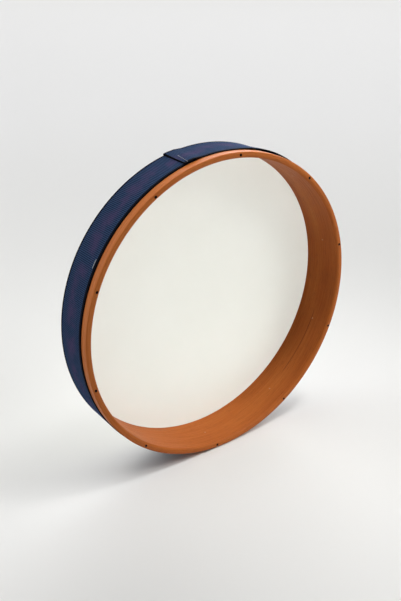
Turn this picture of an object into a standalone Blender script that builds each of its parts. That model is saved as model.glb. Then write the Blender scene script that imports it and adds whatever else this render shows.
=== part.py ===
"""A bendir: a shallow frame drum with hidden tuners, standing on its edge.

The drum's axis runs along Y: the open back faces -Y, the head faces +Y, and the drum stands on Z = 0.
Pieces are modelled in the drum's own frame, whose Z axis is the drum's axis. There a depth is measured
from the back rim towards the head, and a clock angle from the top, clockwise as seen from the open back.
"""

from math import ceil, cos, pi, radians, sin, tau

import bmesh
import bpy
from mathutils import Matrix, Vector

# Driving dimensions, in metres and radians

DRUM_RADIUS = 0.200  # outside of the band, on which the drum stands
DRUM_DEPTH = 0.060  # back rim to the front of the head
LIP_WIDTH = 0.011  # bare wood between the back rim and the band
LIP_DROP = 0.0009  # how far the band stands out over that wood
RIM_INNER_ROUND = 0.003  # rounded inner edge of the back rim
RIM_OUTER_ROUND = 0.0012  # rounded outer edge of the back rim
INNER_LIP = 0.0014  # wood that hides the tension ring from inside
INNER_LIP_SETBACK = 0.0009  # from the front of the head to the end of that wood
TUNER_MARGIN = 0.0002  # wood between that lip's outer face and the tuner holes
OUTER_WOOD = 0.0006  # wood between the tuner holes and the outside of the hoop

HEAD_FILM = 0.0004  # thickness of the drum head
HEAD_SKIRT = 0.030  # how far the film runs down the outside of the hoop
BAND_THICKNESS = 0.0008
BAND_SETBACK = 0.0017  # from the front of the head to the band
BAND_END_CLOCK = radians(-15.9)  # where the band's outer end lies
BAND_OVERLAP = 0.030  # length of band that lies over its own start
BAND_HEM = 0.012  # length folded under at the outer end
BAND_RAMP = 0.008  # length in which the band climbs one layer

RING_HEIGHT = 0.006
RING_ROUND = 0.0015  # rounded front edge of the ring, where the film bends over
RING_BREAK = 0.0004  # broken edges at the ring's back and inside
RING_TRAVEL = 0.0036  # how far the ring backs away from the tuned head

TUNER_COUNT = 10
FIRST_TUNER_CLOCK = radians(4.3)
SCREW_RADIUS = 0.0015
SCREW_LENGTH = 0.025
SCREW_POINT = 0.0005  # chamfer at both ends of the screw
KEY_WIDTH = 0.0015  # hex socket, across its flats
KEY_DEPTH = 0.002
ACCESS_RADIUS = 0.0015  # key hole in the back rim
SCREW_RUN_OUT = 0.0006  # free length behind a screw that is fully backed off
INSERT_WALL = 0.0005
INSERT_LENGTH = 0.008
INSERT_BREAK = 0.0002  # broken edges of the insert

PIN_RADIUS = 0.0006
PIN_HEAD_RADIUS = 0.0011
PIN_HEAD = 0.0005

STAPLE_CROWN = 0.0115
STAPLE_LEG = 0.006
STAPLE_WIRE = 0.0004  # radius of the wire
STAPLE_BEND = 0.0008  # radius of its corners, at the middle of the wire
STAPLE_INSET = 0.0052  # from the band's back edge
STAPLE_STEPS = 2  # whole tuner spaces from the first tuner, counter-clockwise
STAPLE_FROM_TUNER = radians(7.7)  # clockwise from the tuner there

CLEARANCE = 0.0003  # between pieces that lie on each other
FIT = 0.00015  # radial gap round a piece set in a hole
TURNING_FIT = 0.00008  # radial gap round a turning screw
CUT_MARGIN = 0.0005  # how far a cutter runs past the face that it opens
SAME_POINT = 1e-7  # points closer than this are one point

HOOP_FACETS = 80
SMALL_FACETS = 12
PIN_FACETS = 10
ROUND_STEPS = 3
LAP_STEP = radians(0.9)  # step along the band where it climbs over itself
FOLD_STEPS = 6
SMOOTH_ANGLE = radians(30)  # edges that turn less than this are shaded as round

# Base colour, roughness and metallic value of each finish

FINISHES = {
    "stained_wood": ((0.42, 0.14, 0.045), 0.45, 0.0),
    "white_film": ((0.84, 0.83, 0.77), 0.4, 0.0),
    "ring_metal": ((0.62, 0.62, 0.63), 0.35, 1.0),
    "navy_webbing": ((0.025, 0.035, 0.11), 0.85, 0.0),
    "black_steel": ((0.05, 0.05, 0.055), 0.4, 1.0),
    "brass": ((0.60, 0.44, 0.18), 0.35, 1.0),
    "bright_steel": ((0.62, 0.60, 0.57), 0.35, 1.0),
}

# Sizes that follow from them

hoop_step = tau / HOOP_FACETS
tuner_step = tau / TUNER_COUNT
standing_height = DRUM_RADIUS * cos(hoop_step / 2)

bore_radius = (SCREW_RADIUS + TURNING_FIT) / cos(pi / SMALL_FACETS)
insert_radius = bore_radius + INSERT_WALL
tuner_hole_radius = insert_radius + FIT

lip_radius = DRUM_RADIUS - LIP_DROP
rebate_radius = DRUM_RADIUS - BAND_THICKNESS - HEAD_FILM - 2 * CLEARANCE
tuner_circle = rebate_radius - OUTER_WOOD - tuner_hole_radius
seat_radius = tuner_circle - tuner_hole_radius - TUNER_MARGIN
inner_radius = seat_radius - INNER_LIP
wall_flat = inner_radius * cos(hoop_step / 2)  # inner wall at the middle of a facet

head_inside = DRUM_DEPTH - HEAD_FILM
ring_front = head_inside - CLEARANCE
ring_back = ring_front - RING_HEIGHT
seat_depth = ring_back - RING_TRAVEL - CLEARANCE
inner_lip_end = DRUM_DEPTH - INNER_LIP_SETBACK

screw_tip = ring_back - CLEARANCE
screw_tail = screw_tip - SCREW_LENGTH
shoulder_depth = screw_tail - RING_TRAVEL - SCREW_RUN_OUT
insert_back = shoulder_depth + CLEARANCE
pin_depth = insert_back + INSERT_LENGTH / 2

skirt_radius = rebate_radius + CLEARANCE
band_back = LIP_WIDTH + CLEARANCE
band_front = DRUM_DEPTH - BAND_SETBACK
band_layer = BAND_THICKNESS + CLEARANCE
staple_depth = band_back + STAPLE_INSET
staple_clock = FIRST_TUNER_CLOCK - STAPLE_STEPS * tuner_step + STAPLE_FROM_TUNER


def clear_scene():
    """Remove whatever the file opened with."""
    for thing in list(bpy.data.objects):
        bpy.data.objects.remove(thing, do_unlink=True)


def finish(name):
    """The material of a finish, made when it is first asked for."""
    material = bpy.data.materials.get(name)
    if material is None:
        colour, roughness, metallic = FINISHES[name]
        material = bpy.data.materials.new(name)
        material.use_nodes = True
        shader = material.node_tree.nodes["Principled BSDF"]
        shader.inputs["Base Color"].default_value = (*colour, 1.0)
        shader.inputs["Roughness"].default_value = roughness
        shader.inputs["Metallic"].default_value = metallic
    return material


def around(clock, radius, depth=0.0):
    """The point of the drum's frame at a clock angle, radius and depth."""
    return Vector((radius * sin(clock), -radius * cos(clock), depth))


def tuner_clocks():
    """The clock angle of every tuner."""
    return [FIRST_TUNER_CLOCK + index * tuner_step for index in range(TUNER_COUNT)]


def arc(centre, radius, start, stop, steps):
    """Points of a round stretch of a profile, from angle start to angle stop."""
    points = []
    for index in range(steps + 1):
        angle = start + (stop - start) * index / steps
        points.append((centre[0] + radius * cos(angle), centre[1] + radius * sin(angle)))
    return points


def turned(profile, facets, closed=True):
    """A turned solid: (radius, depth) points carried round the axis.

    An open profile starts and ends on the axis.
    """
    shape = bmesh.new()
    points = [shape.verts.new((radius, 0.0, depth)) for radius, depth in profile]
    lines = [shape.edges.new(pair) for pair in zip(points, points[1:])]
    if closed:
        lines.append(shape.edges.new((points[-1], points[0])))
    bmesh.ops.spin(
        shape,
        geom=points + lines,
        axis=(0.0, 0.0, 1.0),
        cent=(0.0, 0.0, 0.0),
        angle=tau,
        steps=facets,
        use_merge=True,
    )
    bmesh.ops.remove_doubles(shape, verts=shape.verts[:], dist=SAME_POINT)
    bmesh.ops.recalc_face_normals(shape, faces=shape.faces[:])
    return shape


def lofted(rings):
    """A solid whose skin joins rings of equally many points, with a flat cap on the first and the last."""
    shape = bmesh.new()
    loops = [[shape.verts.new(point) for point in ring] for ring in rings]
    for lower, upper in zip(loops, loops[1:]):
        for index in range(len(lower)):
            after = (index + 1) % len(lower)
            shape.faces.new((lower[index], lower[after], upper[after], upper[index]))
    shape.faces.new(loops[0])
    shape.faces.new(loops[-1])
    bmesh.ops.recalc_face_normals(shape, faces=shape.faces[:])
    return shape


def mesh_from(shape, name):
    """The finished mesh of a shape, smooth except at its real edges."""
    mesh = bpy.data.meshes.new(name)
    shape.to_mesh(mesh)
    shape.free()
    mesh.shade_smooth()
    mesh.set_sharp_from_angle(angle=SMOOTH_ANGLE)
    return mesh


def piece(name, data, parent, place=None, finish_name=None):
    """One named sub-part, or a cutter without a finish, placed in the frame of its parent."""
    thing = bpy.data.objects.new(name, data)
    bpy.context.scene.collection.objects.link(thing)
    if finish_name and not data.materials:
        data.materials.append(finish(finish_name))
    thing.parent = parent
    if place is not None:
        thing.matrix_basis = place
    return thing


def frame_of_drum():
    """An empty on the drum's axis, at the back rim, that stands the drum on the floor on a flat facet."""
    empty = bpy.data.objects.new("drum_axis", None)
    bpy.context.scene.collection.objects.link(empty)
    empty.location = (0.0, -DRUM_DEPTH / 2, standing_height)
    empty.rotation_euler = (-pi / 2, 0.0, 0.0)
    return empty


def facet_phase():
    """The turn that puts the middle of a facet of the large rings at the bottom."""
    return Matrix.Rotation(hoop_step / 2, 4, "Z")


def tuner_place(clock, depth):
    """On a tuner's axis at a depth, with the local X axis pointing out of the drum."""
    return Matrix.Translation(around(clock, tuner_circle, depth)) @ Matrix.Rotation(clock - pi / 2, 4, "Z")


def radial_place(clock, radius, depth):
    """On the wall, with the local Z axis pointing out of the drum and the local X axis round it."""
    outward = around(clock, 1.0)
    along = Vector((0.0, 0.0, 1.0))
    turn = Matrix((along.cross(outward), along, outward)).transposed().to_4x4()
    return Matrix.Translation(around(clock, radius, depth)) @ turn


def cut(target, name, shapes, drum):
    """Cut separate closed shapes out of a piece."""
    joined = bmesh.new()
    for shape, place in shapes:
        shape.transform(place)
        part = bpy.data.meshes.new(name)
        shape.to_mesh(part)
        shape.free()
        joined.from_mesh(part)
        bpy.data.meshes.remove(part)
    tool = piece(name, mesh_from(joined, name), drum)
    tool.hide_render = True
    tool.display_type = "WIRE"
    modifier = target.modifiers.new(name, "BOOLEAN")
    modifier.operation = "DIFFERENCE"
    modifier.solver = "EXACT"
    modifier.object = tool


def rod(radius, start, stop, facets):
    """A plain round bar along the local Z axis."""
    return turned([(0.0, start), (radius, start), (radius, stop), (0.0, stop)], facets, closed=False)


def hoop_profile():
    """The section of the wood: rounded back rim, bare lip, band rebate, ring seat and inner lip."""
    inner_edge = (inner_radius + RIM_INNER_ROUND, RIM_INNER_ROUND)
    outer_edge = (lip_radius - RIM_OUTER_ROUND, RIM_OUTER_ROUND)
    return [
        (inner_radius, inner_lip_end),
        *arc(inner_edge, RIM_INNER_ROUND, pi, 1.5 * pi, ROUND_STEPS),
        *arc(outer_edge, RIM_OUTER_ROUND, 1.5 * pi, tau, ROUND_STEPS),
        (lip_radius, LIP_WIDTH),
        (rebate_radius, LIP_WIDTH),
        (rebate_radius, seat_depth),
        (seat_radius, seat_depth),
        (seat_radius, inner_lip_end),
    ]


def tuner_hole():
    """A key hole from the back rim, widening at a shoulder into the hole for the insert and the screw."""
    return turned(
        [
            (0.0, -CUT_MARGIN),
            (ACCESS_RADIUS, -CUT_MARGIN),
            (ACCESS_RADIUS, shoulder_depth),
            (tuner_hole_radius, shoulder_depth),
            (tuner_hole_radius, seat_depth + CUT_MARGIN),
            (0.0, seat_depth + CUT_MARGIN),
        ],
        SMALL_FACETS,
        closed=False,
    )


def pin_hole():
    """A stepped hole from the inner wall into the tuner hole, for a lock pin."""
    head_radius = PIN_HEAD_RADIUS + FIT
    shank_radius = PIN_RADIUS + FIT
    bottom = tuner_circle - wall_flat
    return turned(
        [
            (0.0, -CUT_MARGIN),
            (head_radius, -CUT_MARGIN),
            (head_radius, PIN_HEAD + FIT),
            (shank_radius, PIN_HEAD + FIT),
            (shank_radius, bottom),
            (0.0, bottom),
        ],
        PIN_FACETS,
        closed=False,
    )


def make_hoop(drum):
    """The bent-wood ring, with its tuner holes, pin holes and staple holes."""
    ring = mesh_from(turned(hoop_profile(), HOOP_FACETS), "hoop")
    hoop = piece("hoop", ring, drum, facet_phase(), "stained_wood")
    tuner_cuts = [(tuner_hole(), tuner_place(clock, 0.0)) for clock in tuner_clocks()]
    cut(hoop, "tuner_holes", tuner_cuts, drum)
    pin_cuts = [(pin_hole(), radial_place(clock, wall_flat, pin_depth)) for clock in tuner_clocks()]
    cut(hoop, "pin_holes", pin_cuts, drum)
    cut(hoop, "staple_holes_in_wood", staple_holes(), drum)
    return hoop


def make_head(drum):
    """The film: a flat disc that bends over the ring's edge into a skirt down the outside of the hoop."""
    bend_inside = RING_ROUND + CLEARANCE
    bend = (skirt_radius - bend_inside, head_inside - bend_inside)
    outer_radius = skirt_radius + HEAD_FILM
    skirt_end = DRUM_DEPTH - HEAD_SKIRT
    profile = [
        (0.0, head_inside),
        *arc(bend, bend_inside, pi / 2, 0.0, ROUND_STEPS),
        (skirt_radius, skirt_end),
        (outer_radius, skirt_end),
        *arc(bend, bend_inside + HEAD_FILM, 0.0, pi / 2, ROUND_STEPS),
        (0.0, DRUM_DEPTH),
    ]
    film = mesh_from(turned(profile, HOOP_FACETS, closed=False), "drum_head")
    return piece("drum_head", film, drum, facet_phase(), "white_film")


def make_tension_ring(drum):
    """The metal ring in the seat at the front of the hoop, rounded where the film bends over it."""
    ring_inner = seat_radius + CLEARANCE
    front_edge = (rebate_radius - RING_ROUND, ring_front - RING_ROUND)
    profile = [
        (ring_inner, ring_front - RING_BREAK),
        (ring_inner, ring_back + RING_BREAK),
        (ring_inner + RING_BREAK, ring_back),
        (rebate_radius - RING_BREAK, ring_back),
        (rebate_radius, ring_back + RING_BREAK),
        *arc(front_edge, RING_ROUND, 0.0, pi / 2, ROUND_STEPS),
        (ring_inner + RING_BREAK, ring_front),
    ]
    ring = mesh_from(turned(profile, HOOP_FACETS), "tension_ring")
    return piece("tension_ring", ring, drum, facet_phase(), "ring_metal")


def screw_shape():
    """A set screw on the local Z axis from its tail, with chamfered ends and a hex socket in the tail."""

    def ring(radius, depth):
        return [
            (radius * cos(index * tau / SMALL_FACETS), radius * sin(index * tau / SMALL_FACETS), depth)
            for index in range(SMALL_FACETS)
        ]

    def socket(depth):
        side = pi / 6
        points = []
        for index in range(SMALL_FACETS):
            angle = index * tau / SMALL_FACETS
            off_flat = (angle + side) % (2 * side) - side
            reach = KEY_WIDTH / 2 / cos(off_flat)
            points.append((reach * cos(angle), reach * sin(angle), depth))
        return points

    end_radius = SCREW_RADIUS - SCREW_POINT
    return lofted(
        [
            socket(KEY_DEPTH),
            socket(0.0),
            ring(end_radius, 0.0),
            ring(SCREW_RADIUS, SCREW_POINT),
            ring(SCREW_RADIUS, SCREW_LENGTH - SCREW_POINT),
            ring(end_radius, SCREW_LENGTH),
        ]
    )


def insert_shape():
    """A sleeve with broken outer edges, on the local Z axis from its back end."""
    return turned(
        [
            (bore_radius, 0.0),
            (insert_radius - INSERT_BREAK, 0.0),
            (insert_radius, INSERT_BREAK),
            (insert_radius, INSERT_LENGTH - INSERT_BREAK),
            (insert_radius - INSERT_BREAK, INSERT_LENGTH),
            (bore_radius, INSERT_LENGTH),
        ],
        SMALL_FACETS,
    )


def pin_shape():
    """A headed pin on the local Z axis, from its head's face to its tip beside the insert."""
    tip = tuner_circle - insert_radius - CLEARANCE - wall_flat
    return turned(
        [
            (0.0, 0.0),
            (PIN_HEAD_RADIUS, 0.0),
            (PIN_HEAD_RADIUS, PIN_HEAD),
            (PIN_RADIUS, PIN_HEAD),
            (PIN_RADIUS, tip),
            (0.0, tip),
        ],
        PIN_FACETS,
        closed=False,
    )


def make_tuners(drum):
    """Every tuner: its screw, the insert that the screw turns in, and the pin that locks the insert."""
    screw = mesh_from(screw_shape(), "tuning_screw")
    insert = mesh_from(insert_shape(), "threaded_insert")
    pin = mesh_from(pin_shape(), "lock_pin")
    for number, clock in enumerate(tuner_clocks(), start=1):
        piece(f"tuning_screw_{number:02d}", screw, drum, tuner_place(clock, screw_tail), "black_steel")
        piece(f"threaded_insert_{number:02d}", insert, drum, tuner_place(clock, insert_back), "brass")
        piece(f"lock_pin_{number:02d}", pin, drum, radial_place(clock, wall_flat, pin_depth), "bright_steel")


def band_line():
    """The middle line of the strip: from its hidden start round the hoop, over the start and under its hem."""
    base = DRUM_RADIUS - BAND_THICKNESS / 2
    start = BAND_END_CLOCK + BAND_OVERLAP / base
    end = BAND_END_CLOCK - tau
    hem = BAND_HEM / base
    ramp = BAND_RAMP / base
    fold = band_layer / 2

    def level(clock):
        over_start = (start - tau + 2 * ramp - clock) / ramp
        over_hem = (end + hem + 2 * ramp - clock) / ramp
        return min(max(over_start, 0.0), 1.0) + min(max(over_hem, 0.0), 1.0)

    plain_end = start - tau + 2 * ramp
    first = ceil((plain_end + hoop_step / 2) / hoop_step)
    last = ceil((start - hoop_step / 2) / hoop_step) - 1
    clocks = [start]
    clocks += [(index + 0.5) * hoop_step for index in range(last, first - 1, -1)]
    laps = ceil((clocks[-1] - end) / LAP_STEP)
    from_here = clocks[-1]
    clocks += [from_here + (end - from_here) * index / laps for index in range(1, laps + 1)]
    points = [around(clock, base + band_layer * level(clock)) for clock in clocks]

    top = base + band_layer * level(end)
    fold_centre = top - fold
    for index in range(1, FOLD_STEPS):
        turn = pi * index / FOLD_STEPS
        points.append(around(end - fold * sin(turn) / fold_centre, fold_centre + fold * cos(turn)))
    hem_steps = ceil(hem / LAP_STEP)
    points += [around(end + hem * index / hem_steps, top - band_layer) for index in range(hem_steps + 1)]
    return points


def make_band(drum):
    """The webbing strip: its middle line drawn out to the band's width and given its thickness."""
    shape = bmesh.new()
    points = [shape.verts.new(point + Vector((0.0, 0.0, band_back))) for point in band_line()]
    lines = [shape.edges.new(pair) for pair in zip(points, points[1:])]
    drawn = bmesh.ops.extrude_edge_only(shape, edges=lines)["geom"]
    far_side = [item for item in drawn if isinstance(item, bmesh.types.BMVert)]
    bmesh.ops.translate(shape, verts=far_side, vec=(0.0, 0.0, band_front - band_back))
    bmesh.ops.recalc_face_normals(shape, faces=shape.faces[:])
    band = piece("band", mesh_from(shape, "band"), drum, finish_name="navy_webbing")
    thickness = band.modifiers.new("thickness", "SOLIDIFY")
    thickness.thickness = BAND_THICKNESS
    thickness.offset = 0.0
    thickness.use_even_offset = True
    cut(band, "staple_holes_in_band", staple_holes(), drum)
    return band


def staple_line():
    """The middle of the wire: down one leg, round two bends and along the crown, and down the other leg."""
    half = STAPLE_CROWN / 2 - STAPLE_WIRE
    left = (-half + STAPLE_BEND, -STAPLE_BEND)
    right = (half - STAPLE_BEND, -STAPLE_BEND)
    return [
        (-half, -STAPLE_LEG),
        *arc(left, STAPLE_BEND, pi, pi / 2, ROUND_STEPS),
        *arc(right, STAPLE_BEND, pi / 2, 0.0, ROUND_STEPS),
        (half, -STAPLE_LEG),
    ]


def staple_place():
    """On the band, with the local Z axis pointing out of the drum and the crown along the band."""
    return radial_place(staple_clock, DRUM_RADIUS + CLEARANCE + STAPLE_WIRE, staple_depth)


def staple_holes():
    """The two holes that the staple's legs take up in the band and the wood."""
    half = STAPLE_CROWN / 2 - STAPLE_WIRE
    holes = []
    for side in (-half, half):
        hole = rod(STAPLE_WIRE + FIT, -STAPLE_LEG - CLEARANCE, CUT_MARGIN, PIN_FACETS)
        holes.append((hole, staple_place() @ Matrix.Translation((side, 0.0, 0.0))))
    return holes


def make_staple(drum):
    """The wire staple, as a curve with a round section and closed ends."""
    line = bpy.data.curves.new("band_staple", "CURVE")
    line.dimensions = "3D"
    line.bevel_depth = STAPLE_WIRE
    line.bevel_resolution = 1
    line.use_fill_caps = True
    path = line.splines.new("POLY")
    corners = staple_line()
    path.points.add(len(corners) - 1)
    for point, (along, out) in zip(path.points, corners):
        point.co = (along, 0.0, out, 1.0)
    return piece("band_staple", line, drum, staple_place(), "bright_steel")


def main():
    clear_scene()
    drum = frame_of_drum()
    make_hoop(drum)
    make_head(drum)
    make_tension_ring(drum)
    make_tuners(drum)
    make_band(drum)
    make_staple(drum)


main()
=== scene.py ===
# %% [markdown]
# # A frame drum with hidden tuners
#
# A bendir is a large, shallow frame drum. One strip of wood is bent into a hoop, a film is stretched over
# its front, and the back stays open for the player's hand. This one is tuned from behind: a hex key goes
# through ten small holes in the back rim and turns ten screws that push a ring against the film.
#
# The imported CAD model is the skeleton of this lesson. It gives every piece its place and its joints, and
# the cells below dress it with finer surfaces, worked out with numpy, and procedural finishes.

# %% Load the frame
from math import cos, pi, radians, sin, tau

import bmesh
import bpy
import numpy as np
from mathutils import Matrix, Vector


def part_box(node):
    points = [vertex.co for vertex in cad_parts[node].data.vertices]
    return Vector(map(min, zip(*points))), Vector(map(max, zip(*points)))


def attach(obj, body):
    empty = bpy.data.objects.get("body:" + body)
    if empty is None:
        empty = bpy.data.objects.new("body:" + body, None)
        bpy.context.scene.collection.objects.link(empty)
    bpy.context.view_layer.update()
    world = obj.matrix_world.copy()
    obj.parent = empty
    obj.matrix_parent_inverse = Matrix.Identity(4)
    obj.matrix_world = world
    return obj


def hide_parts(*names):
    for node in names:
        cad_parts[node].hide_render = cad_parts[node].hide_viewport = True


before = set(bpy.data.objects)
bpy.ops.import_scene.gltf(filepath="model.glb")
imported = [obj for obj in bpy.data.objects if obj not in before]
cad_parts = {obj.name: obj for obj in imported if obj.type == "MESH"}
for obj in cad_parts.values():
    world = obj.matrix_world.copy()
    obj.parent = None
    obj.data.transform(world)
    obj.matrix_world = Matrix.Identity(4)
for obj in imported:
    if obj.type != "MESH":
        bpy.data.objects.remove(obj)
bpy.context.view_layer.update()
scene = bpy.context.scene

# %% [markdown]
# ## The drum's own coordinates
#
# Round things are easiest to describe in round coordinates. A point of the drum has a clock angle,
# measured from the top and clockwise as seen from the open back, a radius, and a depth, measured from the
# back rim towards the head. One function turns whole arrays of them into Blender's X, Y and Z. All lengths
# are in metres.
#
# The CAD rings have eighty flat sides, and the drum stands on one of them. A fine ring through the corners
# would dip below the floor, so the fine rings take the radius of the flats.

# %% Sizes that the pieces share
DRUM_RADIUS = 0.200
DRUM_DEPTH = 0.060
CAD_SIDES = 80
CLEARANCE = 0.0003
TUNER_COUNT = 10
FIRST_TUNER_CLOCK = radians(4.3)

flats = cos(pi / CAD_SIDES)
head_low, head_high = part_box("drum_head")
axis_height = (head_low.z + head_high.z) / 2
tuner_clocks = FIRST_TUNER_CLOCK + np.arange(TUNER_COUNT) * tau / TUNER_COUNT


def joined(*coordinates):
    """Points from arrays of their coordinates, which are spread to one shape and stacked on a last axis."""
    return np.stack(np.broadcast_arrays(*coordinates), axis=-1)


def drum_point(clock, radius, depth):
    """X is radius times the sine of the clock angle, Z is the axis height plus radius times its cosine, and
    Y is the depth less half the drum's depth."""
    return joined(radius * np.sin(clock), depth - DRUM_DEPTH / 2, axis_height + radius * np.cos(clock))


print(f"the axis lies {axis_height * 1000:.2f} mm above the floor")

# %% [markdown]
# ## The camera
#
# The camera stands to the left of the open back and looks down at the drum. Its place, direction and lens
# were worked out from the two ellipses of the rim and the even spacing of the key holes. A camera looks
# along its own -Z axis, and to_track_quat turns that axis to a direction while Y stays up. A Track To
# constraint could aim it too, but a fixed direction needs no second object.

# %% Camera
CAMERA_PLACE = Vector((-0.5307, -0.6958, 0.6118))
CAMERA_DIRECTION = Vector((0.5356, 0.7309, -0.4230))
CAMERA_LENS = 45.49


def aimed(name, data, place, direction):
    """A camera or a lamp at a place, with its -Z axis turned to a direction."""
    thing = bpy.data.objects.new(name, data)
    scene.collection.objects.link(thing)
    thing.location = place
    thing.rotation_mode = "QUATERNION"
    thing.rotation_quaternion = direction.to_track_quat("-Z", "Y")
    return thing


camera = aimed("camera", bpy.data.cameras.new("camera"), CAMERA_PLACE, CAMERA_DIRECTION)
camera.data.lens = CAMERA_LENS
scene.camera = camera
print("camera at", tuple(round(value, 3) for value in camera.location))

# %% [markdown]
# ## Small helpers for shader nodes
#
# A finish is a small tree of nodes. It could be drawn by hand in the shader editor, but code can repeat
# it. The helpers in the next two cells keep the trees readable. The first ones add and link nodes, do
# arithmetic, make soft steps and turn values into colours. The others add noise, relief and an empty
# finish to start from.


# %% Node helpers
def set_inputs(tree, node, inputs):
    """An input given as a socket is linked, and any other value is set on the node's own socket."""
    for key, value in inputs.items():
        if isinstance(value, bpy.types.NodeSocket):
            tree.links.new(value, node.inputs[key])
        else:
            node.inputs[key].default_value = value


def add_node(tree, kind, inputs=None, **settings):
    """A node with its settings and inputs."""
    made = tree.nodes.new(kind)
    for key, value in settings.items():
        setattr(made, key, value)
    set_inputs(tree, made, inputs or {})
    return made


def arithmetic(tree, operation, first, second=0.0, third=0.0):
    """The result of one Math node."""
    return add_node(tree, "ShaderNodeMath", {0: first, 1: second, 2: third}, operation=operation).outputs[0]


def blend(tree, first, second, share):
    """A share of the first value plus the rest of the second."""
    return arithmetic(tree, "MULTIPLY_ADD", first, share, arithmetic(tree, "MULTIPLY", second, 1.0 - share))


def away_from(tree, value, centre):
    """The distance between a value and a centre: the size of their difference."""
    return arithmetic(tree, "ABSOLUTE", arithmetic(tree, "SUBTRACT", value, centre))


def between(tree, value, low, high, to_low=0.0, to_high=1.0):
    """A smooth step: to_low below low, to_high above high, and a soft climb from one to the other."""
    inputs = {"Value": value, "From Min": low, "From Max": high, "To Min": to_low, "To Max": to_high}
    return add_node(tree, "ShaderNodeMapRange", inputs, interpolation_type="SMOOTHSTEP").outputs["Result"]


def tinted(tree, factor, colour, tint):
    """A colour turned towards a tint by a factor. Sockets 6, 7 and 2 are the Mix node's own for colours."""
    inputs = {"Factor": factor, 6: colour, 7: (*tint, 1.0)}
    return add_node(tree, "ShaderNodeMix", inputs, data_type="RGBA").outputs[2]


def ramp(tree, value, *stops):
    """A colour read from a ramp with the given (position, colour) stops."""
    made = add_node(tree, "ShaderNodeValToRGB", {"Fac": value})
    elements = made.color_ramp.elements
    while len(elements) < len(stops):
        elements.new(1.0)
    for element, (position, colour) in zip(elements, stops):
        element.position = position
        element.color = (*colour, 1.0)
    return made.outputs["Color"]


print("node helpers ready")


# %% Noise, relief and empty finishes
NOISE_RANGE = (0.3, 0.7)


def object_place(tree):
    """A point's place in the piece's own coordinates, which are the drum's."""
    return add_node(tree, "ShaderNodeTexCoord").outputs["Object"]


def surface_place(tree):
    """A point's place on the surface: metres round or along the piece, and metres across it."""
    return add_node(tree, "ShaderNodeUVMap", uv_map="surface").outputs["UV"]


def axes_of(tree, vector):
    """The three parts of a vector, by the names X, Y and Z."""
    return add_node(tree, "ShaderNodeSeparateXYZ", {0: vector}).outputs


def noise(tree, vector, scale, detail=2.0, rough=0.5):
    """Noise in a space that is stretched by three scales, in cycles per metre."""
    stretched = add_node(tree, "ShaderNodeVectorMath", {0: vector, 1: scale}, operation="MULTIPLY")
    inputs = {"Vector": stretched.outputs[0], "Scale": 1.0, "Detail": detail, "Roughness": rough}
    return add_node(tree, "ShaderNodeTexNoise", inputs).outputs["Fac"]


def varied(tree, value, first, last):
    """Noise spread over a range: the first value where the noise is low, and the last where it is high."""
    return between(tree, value, *NOISE_RANGE, first, last)


def new_finish(name):
    """An empty material with its node tree and its Principled shader."""
    material = bpy.data.materials.new(name)
    material.use_nodes = True
    return material, material.node_tree, material.node_tree.nodes["Principled BSDF"]


def bumped(tree, shader, height, distance, strength=1.0):
    """Small relief on a shader: a height from 0 to 1 that stands for a distance in metres."""
    bump = add_node(tree, "ShaderNodeBump", {"Height": height, "Distance": distance, "Strength": strength})
    tree.links.new(bump.outputs["Normal"], shader.inputs["Normal"])


print("noise and relief ready")

# %% [markdown]
# ## Surfaces from grids
#
# Every new surface in this lesson is a grid of points, in rows and columns. Blender's primitives and
# modelling tools could make many of them, but a grid keeps each shape a formula, and numpy works it out in
# whole arrays. One function joins the points with quads, closes the seams and merges the points of a pole.

# %% Grid surfaces
MERGE_DISTANCE = 1e-7


def turns(columns):
    """Equal turns of a full circle, in radians."""
    return np.arange(columns) * tau / columns


def skin(name, points, close_rows=False, fill_ends=False, uv=None):
    """Quads over a grid of points: rows by columns, or several such grids in one array.

    The last column is joined to the first, and the last row too where rows close. uv holds one more line in
    each closed direction, so that a pattern can run on over the join. Points that coincide, such as a pole,
    are merged, open ends are filled where asked, and the faces are turned outwards.
    """
    rows, columns = points.shape[-3:-1]
    grids = points.reshape(-1, rows, columns, 3)
    index = np.arange(rows * columns).reshape(rows, columns)
    index = np.hstack((index, index[:, :1]))
    if close_rows:
        index = np.vstack((index, index[:1]))

    def corners(table):
        """The four corners of every quad in a table of points, in order."""
        quads = (table[:-1, :-1], table[1:, :-1], table[1:, 1:], table[:-1, 1:])
        return np.stack(quads, axis=2).reshape(-1, 4, *table.shape[2:])

    starts = np.arange(len(grids)) * rows * columns
    faces = (corners(index)[None] + starts[:, None, None]).reshape(-1, 4)
    mesh = bpy.data.meshes.new(name)
    mesh.from_pydata(grids.reshape(-1, 3), [], faces)
    if uv is not None:
        layer = mesh.uv_layers.new(name="surface")
        layer.data.foreach_set("uv", np.tile(corners(uv).reshape(-1, 2), (len(grids), 1)).ravel())
    shape = bmesh.new()
    shape.from_mesh(mesh)
    bmesh.ops.remove_doubles(shape, verts=shape.verts[:], dist=MERGE_DISTANCE)
    if fill_ends:
        bmesh.ops.holes_fill(shape, edges=[edge for edge in shape.edges if edge.is_boundary])
    bmesh.ops.recalc_face_normals(shape, faces=shape.faces[:])
    shape.to_mesh(mesh)
    shape.free()
    thing = bpy.data.objects.new(name, mesh)
    scene.collection.objects.link(thing)
    return thing


print("points closer than", MERGE_DISTANCE, "m are merged")

# %% [markdown]
# ## The floor
#
# The drum stands on pale, seamless paper. A plane would do, but a disc whose rows are rings looks the same
# from all sides. Far from the drum the paper fades into the backdrop's colour for the rays that see it, so
# that no horizon shows. For the rays that carry light it stays plain paper, with no light of its own.

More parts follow.
